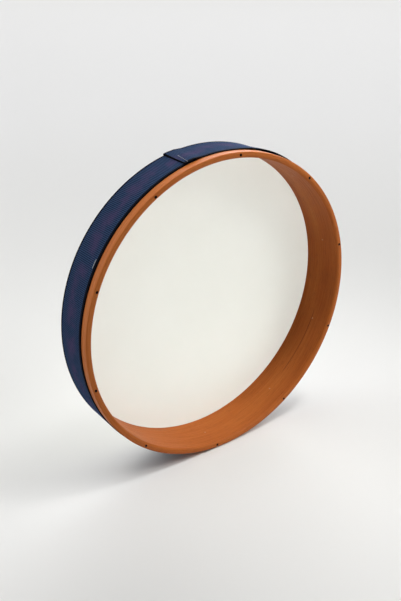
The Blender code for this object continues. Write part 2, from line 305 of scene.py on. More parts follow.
# %% Floor
FLOOR_RINGS = (0.0, 0.3, 1.0, 3.0, 14.0)
FLOOR_COLUMNS = 96
# Near the drum the paper is painted darker: painted shade that fades out between PALER_FROM and PALER_TO.
PAPER_NEAR_SHADED = (0.795, 0.795, 0.78)
PAPER_FAR = (0.84, 0.84, 0.84)
PALER_FROM, PALER_TO = 0.3, 2.5
FADE_FROM, FADE_TO = 3.0, 12.0
BACKDROP = 0.82
BACKDROP_COLOUR = (1.0, 0.995, 0.985, 1.0)


def seen_rays(tree):
    """1 for rays that see a thing, straight, mirrored or through glass, and 0 for rays that carry light."""
    rays = add_node(tree, "ShaderNodeLightPath").outputs
    seen = arithmetic(tree, "MAXIMUM", rays["Is Camera Ray"], rays["Is Glossy Ray"])
    return arithmetic(tree, "MAXIMUM", seen, rays["Is Transmission Ray"])


def paper_finish():
    """Matt paper with painted shade near the drum, fading away from it, and the backdrop's colour far off.
    """
    material, tree, shader = new_finish("pale_paper")
    place = object_place(tree)
    distance = add_node(tree, "ShaderNodeVectorMath", {0: place}, operation="LENGTH").outputs["Value"]
    # Painted shade near the drum, fading away from it.
    paler = between(tree, distance, PALER_FROM, PALER_TO)
    colour = ramp(tree, paler, (0.0, PAPER_NEAR_SHADED), (1.0, PAPER_FAR))
    set_inputs(tree, shader, {"Base Color": colour, "Roughness": 0.9, "Specular IOR Level": 0.2})
    far = arithmetic(tree, "MULTIPLY", between(tree, distance, FADE_FROM, FADE_TO), seen_rays(tree))
    glow = add_node(tree, "ShaderNodeEmission", {"Color": BACKDROP_COLOUR, "Strength": BACKDROP})
    faded = add_node(tree, "ShaderNodeMixShader", {0: far, 1: shader.outputs[0], 2: glow.outputs[0]})
    tree.links.new(faded.outputs[0], tree.nodes["Material Output"].inputs["Surface"])
    return material


floor_reach = np.array(FLOOR_RINGS)[:, None]
floor_x = floor_reach * np.cos(turns(FLOOR_COLUMNS))
floor_y = floor_reach * np.sin(turns(FLOOR_COLUMNS))
floor = skin("floor", joined(floor_x, floor_y, 0.0))
floor.data.materials.append(paper_finish())
print("floor rings:", len(FLOOR_RINGS), "normal:", round(floor.data.polygons[0].normal.z, 2))

# %% [markdown]
# ## The light
#
# Five soft suns light the drum. One overhead and a weak one on the left brighten what faces up. Three
# behind the drum, one high and two low, shine through its film, so that the head glows evenly in the open
# back, and throw a faint shadow forward to the left. Three small panels with narrowed beams do what only
# near lamps can: one brightens the right side of the rim, one the bottom of the inner wall, and one the
# floor in front. The world lights nothing and only shows the backdrop. A sky texture could light it all at
# once, but here each lamp can be set for the one tone that it makes.

# %% Sky and lamps
SUN_DISTANCE = 3.0
SUNS = {
    "overhead_light": dict(azimuth=0, elevation=90, spread=70, strength=0.99),
    "left_light": dict(azimuth=270, elevation=45, spread=50, strength=0.21),
    "back_high_light": dict(azimuth=180, elevation=60, spread=60, strength=0.65),
    "back_left_light": dict(azimuth=225, elevation=25, spread=50, strength=0.95),
    "back_right_light": dict(azimuth=135, elevation=12, spread=50, strength=2.82),
}
PANELS = {
    "rim_panel": dict(place=(0.65, -0.48, 0.75), aim=(0.2, -0.03, 0.26), size=0.5, spread=65, power=0.72),
    "wall_panel": dict(place=(0.27, -0.26, 1.2), aim=(-0.03, 0, 0.02), size=0.25, spread=26, power=0.155),
    "floor_panel": dict(place=(0.35, -0.6, 0.95), aim=(0.12, -0.36, 0), size=0.3, spread=45, power=0.105),
}

world = bpy.data.worlds.new("studio")
scene.world = world
world.use_nodes = True
backdrop_shown = arithmetic(world.node_tree, "MULTIPLY", seen_rays(world.node_tree), BACKDROP)
background = world.node_tree.nodes["Background"]
set_inputs(world.node_tree, background, {"Color": BACKDROP_COLOUR, "Strength": backdrop_shown})
drum_middle = Vector((0.0, 0.0, axis_height))


def add_sun(name, azimuth, elevation, spread, strength):
    """A sun lamp, with its angles in degrees and its azimuth from the open back (-Y) towards the right."""
    azimuth, elevation = radians(azimuth), radians(elevation)
    towards = Vector((sin(azimuth) * cos(elevation), -cos(azimuth) * cos(elevation), sin(elevation)))
    place = drum_middle + SUN_DISTANCE * towards
    sun = bpy.data.lights.new(name, "SUN")
    sun.angle = radians(spread)
    sun.energy = strength
    aimed(name, sun, place, drum_middle - place)


def add_panel(name, place, aim, size, spread, power):
    """A square panel with a narrowed beam, as from a grid in front of it. Its power is in watts."""
    panel = bpy.data.lights.new(name, "AREA")
    panel.size = size
    panel.spread = radians(spread)
    panel.energy = power
    aimed(name, panel, place, Vector(aim) - Vector(place))


for name, sun in SUNS.items():
    add_sun(name, **sun)
for name, panel in PANELS.items():
    add_panel(name, **panel)
scene.view_settings.view_transform = "Standard"
print("suns:", len(SUNS), "panels:", len(PANELS), "backdrop:", BACKDROP)

# %% [markdown]
# ## Carrying a profile round the drum
#
# The hoop, the head and the tension ring are turned shapes: one section, drawn as radius and depth, is
# carried round the axis. A Screw modifier or the spin operator could do that. Here the ring is one outer
# product of the section's points and the clock angles, which also gives each point its place on the
# surface for the finish: the way round and the way along the section, both in metres.

# %% Turned rings
REFERENCE_RADIUS = 0.195
ROUND_STEPS = 9
BREAK_STEPS = 4


def arc(centre, radius, start, stop, steps):
    """Points on a circle: centre plus radius times the cosine and sine of angles from start to stop."""
    angle = np.linspace(radians(start), radians(stop), steps)
    return joined(centre[0] + radius * np.cos(angle), centre[1] + radius * np.sin(angle))


def along_section(section):
    """The length of the section up to each of its points."""
    return np.concatenate(([0.0], np.cumsum(np.linalg.norm(np.diff(section, axis=0), axis=1))))


def turned(name, section, steps, closed=True):
    """A ring: every (radius, depth) point of a section at every one of steps equal clock angles."""
    clocks = np.linspace(-pi, pi, steps, endpoint=False)
    points = drum_point(clocks[None, :], section[:, :1], section[:, 1:])
    full = np.vstack((section, section[:1])) if closed else section
    way_round = np.append(clocks, pi) * REFERENCE_RADIUS
    way_along = section[0, 1] - along_section(full)
    return skin(name, points, close_rows=closed, uv=joined(way_round[None, :], way_along[:, None]))


def smooth(thing, angle=35):
    """Smooth shading, with sharp edges where the surface turns by more than an angle in degrees."""
    thing.data.shade_smooth()
    thing.data.set_sharp_from_angle(angle=radians(angle))


def dress(thing, material, slot, body, *nodes):
    """Give a piece its finish, let it ride on a body and stand for CAD nodes. The slot is not used."""
    thing.data.materials.append(material)
    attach(thing, body)
    if nodes:
        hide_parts(*nodes)


print("the way round is measured at a radius of", REFERENCE_RADIUS, "m")

# %% [markdown]
# ## Stained and lacquered wood
#
# The hoop is a plain, close-grained wood under a red-brown stain and a thin satin lacquer. Its fibres run
# round the hoop, because the strip was bent along its length. A flat picture of grain would show a join
# where it meets itself. So the noise reads the drum's own X and Z, which close the circle by themselves,
# and takes only the direction across the fibres from the section. Three layers make the wood: slow bands
# of stain, fine fibres, and short dark pores. A dark streak follows the fibres on the lower right of the
# inner wall. The walls of the key holes hold little light, so they get painted shade: a face attribute
# marks them, and the finish turns them near black.

# %% Wood finish
STAIN_STOPS = (
    (0.30, (0.345, 0.084, 0.0137)),
    (0.50, (0.466, 0.126, 0.0224)),
    (0.70, (0.560, 0.173, 0.0362)),
)
PORE_COLOUR = (0.13, 0.033, 0.009)
PORE_SHARE = 0.45
STREAK_START = (radians(107.0), 0.0297)
STREAK_END = (radians(141.0), 0.0303)
STREAK_HALF_WIDTH = 0.0009
STREAK_FADE = 0.016
STREAK_COLOUR = (0.10, 0.026, 0.008)
STREAK_SHARE = 0.75
# Near black for the key holes' walls: painted shade in the narrow holes.
HOLE_SHADE_COLOUR = (0.006, 0.003, 0.002)
FIBRE_HEIGHT = 0.5


def streak(tree, surface):
    """1 on a line along the fibres and 0 off it: the line's depth changes evenly with the way round, and it
    fades at both ends."""
    start_round, end_round = STREAK_START[0] * REFERENCE_RADIUS, STREAK_END[0] * REFERENCE_RADIUS
    slope = (STREAK_END[1] - STREAK_START[1]) / (end_round - start_round)
    line = arithmetic(tree, "MULTIPLY_ADD", surface["X"], slope, STREAK_START[1] - slope * start_round)
    near = between(tree, away_from(tree, surface["Y"], line), 0.0, STREAK_HALF_WIDTH, 1.0, 0.0)
    fade_in = between(tree, surface["X"], start_round, start_round + STREAK_FADE)
    fade_out = between(tree, surface["X"], end_round - STREAK_FADE, end_round, 1.0, 0.0)
    return arithmetic(tree, "MULTIPLY", near, arithmetic(tree, "MULTIPLY", fade_in, fade_out))


def wood_finish():
    """Stain bands, fibres, pores and a streak in a satin lacquer."""
    material, tree, shader = new_finish("stained_wood")
    place, surface = axes_of(tree, object_place(tree)), axes_of(tree, surface_place(tree))
    wrapped = {"X": place["X"], "Y": surface["Y"], "Z": place["Z"]}
    wrapped = add_node(tree, "ShaderNodeCombineXYZ", wrapped).outputs[0]
    bands = noise(tree, wrapped, scale=(5.0, 32.0, 5.0))
    fibres = noise(tree, wrapped, scale=(16.0, 900.0, 16.0), detail=4.0, rough=0.6)
    pores = noise(tree, wrapped, scale=(90.0, 2200.0, 90.0), detail=1.0)
    pores = between(tree, pores, low=0.60, high=0.72)

    colour = ramp(tree, blend(tree, bands, fibres, share=0.5), *STAIN_STOPS)
    colour = tinted(tree, arithmetic(tree, "MULTIPLY", pores, PORE_SHARE), colour, PORE_COLOUR)
    dark = arithmetic(tree, "MULTIPLY", streak(tree, surface), STREAK_SHARE)
    colour = tinted(tree, dark, colour, STREAK_COLOUR)
    # Painted shade: the key holes' walls, marked by the hole attribute, turn near black.
    hole = add_node(tree, "ShaderNodeAttribute", attribute_name="hole").outputs["Fac"]
    colour = tinted(tree, hole, colour, HOLE_SHADE_COLOUR)
    rough = varied(tree, fibres, 0.58, 0.46)
    set_inputs(tree, shader, {"Base Color": colour, "Roughness": rough, "Specular IOR Level": 0.14})
    relief = arithmetic(tree, "SUBTRACT", arithmetic(tree, "MULTIPLY", fibres, FIBRE_HEIGHT), pores)
    bumped(tree, shader, relief, distance=0.00004, strength=0.6)
    return material


stained_wood = wood_finish()
print("wood nodes:", len(stained_wood.node_tree.nodes))

# %% [markdown]
# ## The hoop
#
# On the real drum the hoop is bent from one strip, turned true, and cut away for the other pieces: a
# rebate outside takes the film and the band, which stands a little proud of the bare lip at the back, and
# a seat at the front takes the tension ring. A Bevel modifier could round its edges. Here the rounds are
# arcs in the section itself, so that each sanded edge has its own radius.

# %% Section of the hoop
LIP_WIDTH = 0.011
LIP_DROP = 0.0009
RIM_INNER_ROUND = 0.0034
RIM_OUTER_ROUND = 0.0012
LIP_EDGE_ROUND = 0.0003
INNER_LIP_END = 0.0591
SEAT_DEPTH = 0.0494
CAD_INNER_RADIUS = 0.191429
CAD_SEAT_RADIUS = 0.192829
CAD_REBATE_RADIUS = 0.1982
HOOP_STEPS = 720

inner_radius = CAD_INNER_RADIUS * flats
seat_radius = CAD_SEAT_RADIUS * flats
rebate_radius = CAD_REBATE_RADIUS * flats
lip_radius = (DRUM_RADIUS - LIP_DROP) * flats
lip_edge = (lip_radius - LIP_EDGE_ROUND, LIP_WIDTH - LIP_EDGE_ROUND)

hoop_section = np.vstack((
    [(inner_radius, INNER_LIP_END)],
    arc((inner_radius + RIM_INNER_ROUND, RIM_INNER_ROUND), RIM_INNER_ROUND, 180, 270, ROUND_STEPS),
    arc((lip_radius - RIM_OUTER_ROUND, RIM_OUTER_ROUND), RIM_OUTER_ROUND, 270, 360, ROUND_STEPS),
    arc(lip_edge, LIP_EDGE_ROUND, 0, 90, BREAK_STEPS),
    [(rebate_radius, LIP_WIDTH), (rebate_radius, SEAT_DEPTH)],
    [(seat_radius, SEAT_DEPTH), (seat_radius, INNER_LIP_END)],
))
hoop = turned("hoop_wood", hoop_section, HOOP_STEPS)
print("hoop section points:", len(hoop_section), "faces:", len(hoop.data.polygons))

# %% [markdown]
# ## Bars for drilling
#
# The holes for the keys, the tuners, the lock pins and the staple are drilled. Each drill is a turned bar
# that lies along the drum's axis or points out of the drum. A cylinder could stand for a plain drill, but
# a stepped bar makes a hole and its shoulder in one go. The same two functions also shape the small turned
# pieces later on, where a bar's radius may change with the turn as well.

# %% Bars
TUNER_CIRCLE = 0.195314


def axial_bars(reach, along, start=0.0):
    """Bars along the depth axis, one for each tuner: reach holds a radius for each row and turn, along holds
    each row's distance from the start, and the turns go round the bar's own axis, from up to the right."""
    turn = turns(reach.shape[1])
    middle = drum_point(tuner_clocks, TUNER_CIRCLE, start)[:, None, None, :]
    return middle + joined(reach * np.sin(turn), along[:, None], reach * np.cos(turn))


def radial_bars(clocks, radius, depth, section, columns, shift=0.0):
    """Turned bars that point out of the drum: each (radius, height) point of a section goes height outwards
    from the wall and radius away from the bar's axis. A shift moves a bar along the drum's tangent."""
    clocks = np.asarray(clocks)[:, None, None]
    turn = turns(columns)
    outward = joined(np.sin(clocks), 0.0, np.cos(clocks))
    tangent = joined(np.cos(clocks), 0.0, -np.sin(clocks))
    reach, height = section[:, 0, None], section[:, 1, None]
    sideways = (reach * np.cos(turn) + shift)[..., None] * tangent
    deeper = (reach * np.sin(turn))[..., None] * np.array([0.0, 1.0, 0.0])
    return drum_point(clocks, radius, depth) + height[..., None] * outward + sideways + deeper


print("tuners on a circle of", round(TUNER_CIRCLE * 1000, 1), "mm")

# %% [markdown]
# ## The holes in the hoop
#
# Behind each key hole the drill widens to a shoulder, which the brass sleeve sits against. The key hole's
# edge is broken, as sandpaper leaves it. A hole in a grid is awkward, so the drills are cut from the hoop
# with Boolean modifiers, and the result is kept as the mesh. The finish paints shade on the walls of the
# key holes, so it has to know them. Vertex paint could show them, but here the drill's faces before the
# shoulder carry an attribute called hole, which the Boolean hands on to the walls that they leave.

# %% Cut the holes
KEY_HOLE_RADIUS = 0.0015
KEY_HOLE_BREAK = 0.0003
KEY_HOLE_COLUMNS = 32
TUNER_HOLE_RADIUS = 0.00228
SHOULDER_DEPTH = 0.0238
CUT_MARGIN = 0.0005
FIT = 0.00015
PIN_DEPTH = 0.0281
PIN_HEAD_RADIUS = 0.0011
PIN_HEAD = 0.0005
PIN_RADIUS = 0.0006
PIN_HOLE_COLUMNS = 20
STAPLE_CLOCK = radians(-60.0)
STAPLE_DEPTH = 0.0165
STAPLE_HALF = 0.00535
STAPLE_LEG = 0.006
STAPLE_WIRE = 0.0004
LEG_HOLE_COLUMNS = 12


def cut(thing, cutters):
    """Subtract cutters from a piece with exact Booleans, and keep the result as the piece's mesh."""
    for cutter in cutters:
        modifier = thing.modifiers.new(cutter.name, "BOOLEAN")
        modifier.operation = "DIFFERENCE"
        modifier.solver = "EXACT"
        modifier.object = cutter
    whole = thing.data
    thing.data = bpy.data.meshes.new_from_object(thing.evaluated_get(bpy.context.evaluated_depsgraph_get()))
    thing.modifiers.clear()
    bpy.data.meshes.remove(whole)
    for cutter in cutters:
        bpy.data.objects.remove(cutter)


drill_end = SEAT_DEPTH + CUT_MARGIN
key_hole = np.array([
    (0.0, -CUT_MARGIN),
    (KEY_HOLE_RADIUS + KEY_HOLE_BREAK + CUT_MARGIN, -CUT_MARGIN),
    (KEY_HOLE_RADIUS, KEY_HOLE_BREAK),
    (KEY_HOLE_RADIUS, SHOULDER_DEPTH),
    (TUNER_HOLE_RADIUS, SHOULDER_DEPTH),
    (TUNER_HOLE_RADIUS, drill_end),
    (0.0, drill_end),
])
head_hole, shank_hole = PIN_HEAD_RADIUS + FIT / 2, PIN_RADIUS + FIT
pin_hole = np.array([
    (0.0, -CUT_MARGIN),
    (head_hole, -CUT_MARGIN),
    (head_hole, PIN_HEAD + FIT),
    (shank_hole, PIN_HEAD + FIT),
    (shank_hole, TUNER_CIRCLE - inner_radius),
    (0.0, TUNER_CIRCLE - inner_radius),
])
leg_bottom = -STAPLE_LEG - CLEARANCE
leg_reach = STAPLE_WIRE + FIT
leg_hole = np.array([(0.0, leg_bottom), (leg_reach, leg_bottom), (leg_reach, CUT_MARGIN), (0.0, CUT_MARGIN)])
key_reach = np.repeat(key_hole[:, :1], KEY_HOLE_COLUMNS, axis=1)
drills = {
    "key_holes": axial_bars(key_reach, key_hole[:, 1]),
    "pin_holes": radial_bars(tuner_clocks, inner_radius, PIN_DEPTH, pin_hole, PIN_HOLE_COLUMNS),
    "leg_holes": np.vstack([
        radial_bars([STAPLE_CLOCK], DRUM_RADIUS, STAPLE_DEPTH, leg_hole, LEG_HOLE_COLUMNS, side)
        for side in (-STAPLE_HALF, STAPLE_HALF)
    ]),
}
cutters = [skin(name, points) for name, points in drills.items()]
key_drill = cutters[0].data
face_middles = np.empty(3 * len(key_drill.polygons))
key_drill.polygons.foreach_get("center", face_middles)
before_shoulder = face_middles[1::3] + DRUM_DEPTH / 2 < SHOULDER_DEPTH - FIT
key_drill.attributes.new("hole", "FLOAT", "FACE").data.foreach_set("value", before_shoulder.astype(float))
cut(hoop, cutters)
smooth(hoop)
dress(hoop, stained_wood, "stained_wood", "drum", "hoop")
print("hoop faces after cutting:", len(hoop.data.polygons))

# %% [markdown]
# ## The head
#
# The head is a synthetic film with a warm white coating, seen from its inside in the open back. It lies
# flat over the tension ring, bends over the ring's rounded edge and runs down the outside of the hoop,
# where the band covers it. Its section starts and ends on the axis, so the disc closes in a pole at its
# middle. The film lets light through, so part of what falls on its front glows on its inside. A
# Translucent shader could do that, but the Principled shader has subsurface scattering built in. The
# coating is almost even: slow clouds and a fine tooth are all it needs.

# %% Head film
HEAD_FILM = 0.0004
HEAD_SKIRT_END = 0.030
HEAD_STEPS = 360
DISC_ROWS = 24
RING_ROUND = 0.0015
FILM_STOPS = ((0.3, (0.635, 0.646, 0.555)), (0.7, (0.660, 0.671, 0.580)))

head_inside = DRUM_DEPTH - HEAD_FILM
skirt_radius = rebate_radius + CLEARANCE
bend_inside = RING_ROUND + CLEARANCE
bend = (skirt_radius - bend_inside, head_inside - bend_inside)
disc = np.linspace(0.0, bend[0], DISC_ROWS, endpoint=False)

head_section = np.vstack((
    joined(disc, head_inside),
    arc(bend, bend_inside, 90, 0, ROUND_STEPS),
    [(skirt_radius, HEAD_SKIRT_END), (skirt_radius + HEAD_FILM, HEAD_SKIRT_END)],
    arc(bend, bend_inside + HEAD_FILM, 0, 90, ROUND_STEPS),
    joined(disc[::-1], DRUM_DEPTH),
))
head = turned("head_film", head_section, HEAD_STEPS, closed=False)
smooth(head)


def film_finish():
    """A warm white coating that lets light through: slow clouds, fine tooth."""
    material, tree, shader = new_finish("white_film")
    place = object_place(tree)
    clouds = noise(tree, place, scale=(9.0,) * 3, detail=3.0)
    tooth = noise(tree, place, scale=(1400.0,) * 3)
    look = {
        "Base Color": ramp(tree, clouds, *FILM_STOPS),
        "Roughness": varied(tree, tooth, 0.44, 0.56),
        "Subsurface Weight": 1.0,
        "Subsurface Radius": (1.0, 1.0, 1.0),
        "Subsurface Scale": 0.003,
    }
    set_inputs(tree, shader, look)
    bumped(tree, shader, tooth, distance=0.00002, strength=0.5)
    return material


dress(head, film_finish(), "white_film", "drum", "drum_head")
print("head faces:", len(head.data.polygons))

# %% [markdown]
# ## The tension ring
#
# A metal ring, rolled from a drawn bar, sits in the seat at the front of the hoop, out of sight. Its outer
# front edge is round, because the film bends over it. Blender's anisotropic gloss could stand for the
# marks of drawing, but long fine scratches that run round the ring also hold up close.

# %% Tension ring
RING_FRONT = 0.0593
RING_BACK = 0.0533
RING_BREAK = 0.0004
RING_STEPS = 360
FINE_SCRATCHES = (900.0,) * 3
DRAWN_SCRATCHES = (30.0, 2500.0, 30.0)
TONE_STOPS = (0.35, 0.65)
ROUGHNESS_SWING = 0.08
RING_TONES = ((0.55, 0.55, 0.56), (0.68, 0.68, 0.69))
RING_ROUGHNESS = 0.34

ring_inner = seat_radius + CLEARANCE
ring_section = np.vstack((
    arc((ring_inner + RING_BREAK, RING_FRONT - RING_BREAK), RING_BREAK, 90, 180, BREAK_STEPS),
    arc((ring_inner + RING_BREAK, RING_BACK + RING_BREAK), RING_BREAK, 180, 270, BREAK_STEPS),
    arc((rebate_radius - RING_BREAK, RING_BACK + RING_BREAK), RING_BREAK, 270, 360, BREAK_STEPS),
    arc((rebate_radius - RING_ROUND, RING_FRONT - RING_ROUND), RING_ROUND, 0, 90, ROUND_STEPS),
))
tension_ring = turned("tension_ring_metal", ring_section, RING_STEPS)
smooth(tension_ring)


def metal_finish(name, tones, roughness, scale=FINE_SCRATCHES):
    """Metal with a dark and a light tone, and a roughness that varies along fine scratches."""
    material, tree, shader = new_finish(name)
    scratches = noise(tree, object_place(tree), scale, detail=3.0, rough=0.6)
    dull, bright = roughness + ROUGHNESS_SWING, roughness - ROUGHNESS_SWING
    look = {
        "Base Color": ramp(tree, scratches, *zip(TONE_STOPS, tones)),
        "Roughness": varied(tree, scratches, dull, bright),
        "Metallic": 1.0,
    }
    set_inputs(tree, shader, look)
    bumped(tree, shader, scratches, distance=0.00001, strength=0.5)
    return material


drawn_metal = metal_finish("ring_metal", RING_TONES, RING_ROUGHNESS, DRAWN_SCRATCHES)
dress(tension_ring, drawn_metal, "ring_metal", "ring", "tension_ring")
print("ring faces:", len(tension_ring.data.polygons))

# %% [markdown]
# ## The line of the webbing band
#
# A strip of navy ribbed webbing covers the outside of the hoop and the film's skirt. It starts under its
# own end at the upper left, goes once round the hoop, climbs over its start in a short lap, and ends in a
# fold that is tucked under and sewn down. A curve with a bevel could carry the strip, but its points would
# not fall on the ribs. So the middle line is worked out as clock angle and radius, and cut into equal
# steps of its length, so that every rib gets the same number of points.

# %% Line of the band
BAND_THICKNESS = 0.0008
BAND_BACK = 0.0113
BAND_FRONT = 0.0583
BAND_END_CLOCK = radians(-15.9)
BAND_OVERLAP = 0.016
BAND_HEM = 0.012
START_RAMP = 0.008
START_MARGIN = 0.002
HEM_RAMP = 0.006
HEM_MARGIN = 0.001
LAYER_GAP = 0.0001
RIB_PITCH = 0.0022
RIB_STEPS = 5
LINE_STEPS = 8000
FOLD_STEPS = 24
HEM_STEPS = 60

band_base = (DRUM_RADIUS - BAND_THICKNESS / 2) * flats
band_layer = BAND_THICKNESS + LAYER_GAP
band_width = BAND_FRONT - BAND_BACK


def ease(value):
    """A smooth climb from 0 to 1: three times the square less twice the cube, held outside."""
    value = np.clip(value, 0.0, 1.0)
    return value * value * (3.0 - 2.0 * value)


def layers_below(from_end):
    """How many layers lie under the strip at a distance from its outer end: a soft climb onto its own
    start, done just before that begins, and another onto its hem."""
    over_start = ease((BAND_OVERLAP + START_MARGIN + START_RAMP - from_end) / START_RAMP)
    return over_start + ease((BAND_HEM + HEM_MARGIN + HEM_RAMP - from_end) / HEM_RAMP)


def band_line():
    """Points in the X-Z plane, from the axis: round the hoop counter-clockwise, up one layer over the
    strip's own start and one more over its hem, round a half circle, and back along the hem."""
    start = BAND_END_CLOCK + BAND_OVERLAP / band_base
    end = BAND_END_CLOCK - tau
    hem = BAND_HEM / band_base
    clock = np.linspace(start, end, LINE_STEPS)
    radius = band_base + band_layer * layers_below((clock - end) * band_base)
    fold = band_layer / 2
    fold_centre = radius[-1] - fold
    turn = np.linspace(0.0, pi, FOLD_STEPS)[1:-1]
    back = np.linspace(end, end + hem, HEM_STEPS)
    clock = np.concatenate((clock, end - fold * np.sin(turn) / fold_centre, back))
    hem_radius = np.full_like(back, fold_centre - fold)
    radius = np.concatenate((radius, fold_centre + fold * np.cos(turn), hem_radius))
    return joined(radius * np.sin(clock), radius * np.cos(clock))


drawn = band_line()
drawn_length = along_section(drawn)
band_length = drawn_length[-1]
rib_count = int(band_length / RIB_PITCH)
band_way = np.linspace(0.0, band_length, rib_count * RIB_STEPS + 1)
middle = joined(*(np.interp(band_way, drawn_length, column) for column in drawn.T))
tangent = np.gradient(middle, axis=0)
tangent /= np.linalg.norm(tangent, axis=1, keepdims=True)
outward = joined(tangent[:, 1], -tangent[:, 0])
end_way = band_length - BAND_HEM
print(f"band {band_length * 1000:.0f} mm long, {band_width * 1000:.0f} mm wide, {rib_count} ribs")

# %% [markdown]
# ## The section of the band
#
# A section is carried along the line: round edges, a plain selvedge along both of them, ribs between, and
# a flat back. A bump map could fake the ribs, but they show on the outline, so they are real. The
# section's points lie close together at the edges and where the ribs begin, and far apart elsewhere.

# %% Section of the band
# The back selvedge is wide enough that its black also paints the shade at the step down to the lip.
BACK_SELVEDGE_AND_SHADE = 0.0042
FRONT_SELVEDGE = 0.0028
RIB_FADE = 0.0004
RIB_HEIGHT = 0.00026
RIB_INSET = 0.0060
RIB_COLUMNS = 9
EDGE_POINTS = np.array([0.0, 0.00008, 0.0003, 0.0012])
FADE_POINTS = np.array([-0.0002, 0.0003])
BACK_INSET = 0.0003

half_thick = BAND_THICKNESS / 2
from_back = np.concatenate((EDGE_POINTS, BACK_SELVEDGE_AND_SHADE + FADE_POINTS))
from_front = np.concatenate((EDGE_POINTS, FRONT_SELVEDGE + FADE_POINTS))
across_ribs = np.linspace(RIB_INSET, band_width - RIB_INSET, RIB_COLUMNS)
across_out = np.concatenate((from_back, across_ribs, band_width - from_front[::-1]))
across_in = np.array([band_width - BACK_INSET, band_width / 2, BACK_INSET])
across = np.concatenate((across_out, across_in))

from_edge = np.minimum(across_out, band_width - across_out)
short_of_flat = 1.0 - np.clip(from_edge / half_thick, 0.0, 1.0)
edge_round = half_thick * np.sqrt(np.clip(1.0 - short_of_flat**2, 0.0, 1.0))
ribs_begin = ease((across_out - BACK_SELVEDGE_AND_SHADE) / RIB_FADE)
ribs_end = ease((band_width - FRONT_SELVEDGE - across_out) / RIB_FADE)
ribbed = ribs_begin * ribs_end
rib = 0.5 - 0.5 * np.cos(tau * (band_way * rib_count / band_length))
face_out = edge_round[None, :] - RIB_HEIGHT * ribbed[None, :] * (1.0 - rib[:, None])
face_in = np.full((len(band_way), len(across_in)), -half_thick)
offset = np.concatenate((face_out, face_in), axis=1)
print("points across the band:", len(across), "ribs", RIB_HEIGHT * 1000, "mm high")

# %% [markdown]
# ## Where the band is loose
#
# Webbing doesn't lie as still as wood. The front corner of the end stands up a little, the back edge
# stands off the wood at the upper right, and the end is cut on a slant. Proportional editing could pull
# them into place by hand. Here each is a smooth function of the place on the strip, which moves a point
# out or round the drum.

# %% Band
CORNER_LIFT = 0.0006
CORNER_REACH = 0.016
CORNER_FROM = 0.45
LOOSE_LIFT = 0.0020
LOOSE_CLOCK = radians(21.0)
LOOSE_SPAN = radians(20.0)
LOOSE_REACH = 0.035
END_SLANT = 0.0026
SLANT_REACH = 0.08


def corner_lift(from_end, over):
    """How far the end's front corner stands up: it fades away from the end and towards the back edge."""
    towards_front = ease((over / band_width - CORNER_FROM) / (1.0 - CORNER_FROM))
    return CORNER_LIFT * ease(1.0 - from_end / CORNER_REACH) * towards_front


def loose_lift(clock, over):
    """How far the back edge stands off at the upper right: it fades along the strip and across it."""
    along_strip = ease(1.0 - np.abs(clock - LOOSE_CLOCK) / LOOSE_SPAN)
    return LOOSE_LIFT * along_strip * ease(1.0 - over / LOOSE_REACH)


lift = corner_lift(np.abs(band_way - end_way)[:, None], across[None, :])
lift = lift + loose_lift(np.arctan2(middle[:, 0], middle[:, 1])[:, None], across[None, :])
plane = middle[:, None, :] + (offset + lift)[..., None] * outward[:, None, :]
slant = END_SLANT / band_base * ease((band_way - end_way) / SLANT_REACH + 1.0)[:, None] * across / band_width
band_points = joined(
    plane[..., 0] * np.cos(slant) + plane[..., 1] * np.sin(slant),
    BAND_BACK + across - DRUM_DEPTH / 2,
    axis_height + (plane[..., 1] * np.cos(slant) - plane[..., 0] * np.sin(slant)),
)
band_uv = joined(band_way[:, None], np.append(across, 0.0)[None, :])
band = skin("band_webbing", band_points, fill_ends=True, uv=band_uv)
smooth(band, angle=60)
print("band faces:", len(band.data.polygons))

# %% [markdown]
# ## The webbing's finish
#
# Over the real ribs, every thick weft cord gets a painted highlight along its top and painted shade in
# the groove beside it. Fine warp yarns run along the strip over the cords. A reddish yarn in the middle of
# this strip gives it a purple cast there. Both edges are black selvedges, and the back one is widened with
# painted shade at the step down to the lip. The fold is painted black as shade. A picture of cloth could
# be tiled along the strip, but noise does not repeat. The nodes read the strip's own surface map: metres
# along it and metres across it.

# %% Webbing finish
NAVY_STOPS = (
    (0.15, (0.0072, 0.0120, 0.028)),
    (0.50, (0.0197, 0.0392, 0.089)),
    (0.85, (0.0430, 0.0790, 0.163)),
)
# How much painted highlight and painted shade the ribs get.
CREST_LIGHT_SHARE = 0.55
PURPLE_YARN = (0.070, 0.047, 0.114)
PURPLE_SHARE = 0.72
PURPLE_FULL, PURPLE_NONE = 0.003, 0.016
# Black for the selvedges, and for the painted shade at the back edge and on the fold.
BLACK_YARN_AND_SHADE = (0.0025, 0.0025, 0.004)
# The fold is painted black: painted shade on the fold's face.
FOLD_SHADE = 0.0012
FOLD_SHADE_FADE = 0.0005


def black_yarn_and_shade(tree, axes):
    """1 on both selvedges, the back one widened with painted shade, and on the fold's painted shade; 0
    elsewhere.
    """
    front_start = band_width - FRONT_SELVEDGE
    back_selvedge_and_shade = between(tree, axes["Y"], BACK_SELVEDGE_AND_SHADE - RIB_FADE, BACK_SELVEDGE_AND_SHADE + RIB_FADE, 1.0, 0.0)
    front_edge = between(tree, axes["Y"], front_start - RIB_FADE, front_start + RIB_FADE)
    off_fold = away_from(tree, axes["X"], end_way - FOLD_SHADE / 2)
    fold = between(tree, off_fold, FOLD_SHADE, FOLD_SHADE + FOLD_SHADE_FADE, 1.0, 0.0)
    return arithmetic(tree, "MAXIMUM", arithmetic(tree, "MAXIMUM", back_selvedge_and_shade, front_edge), fold)


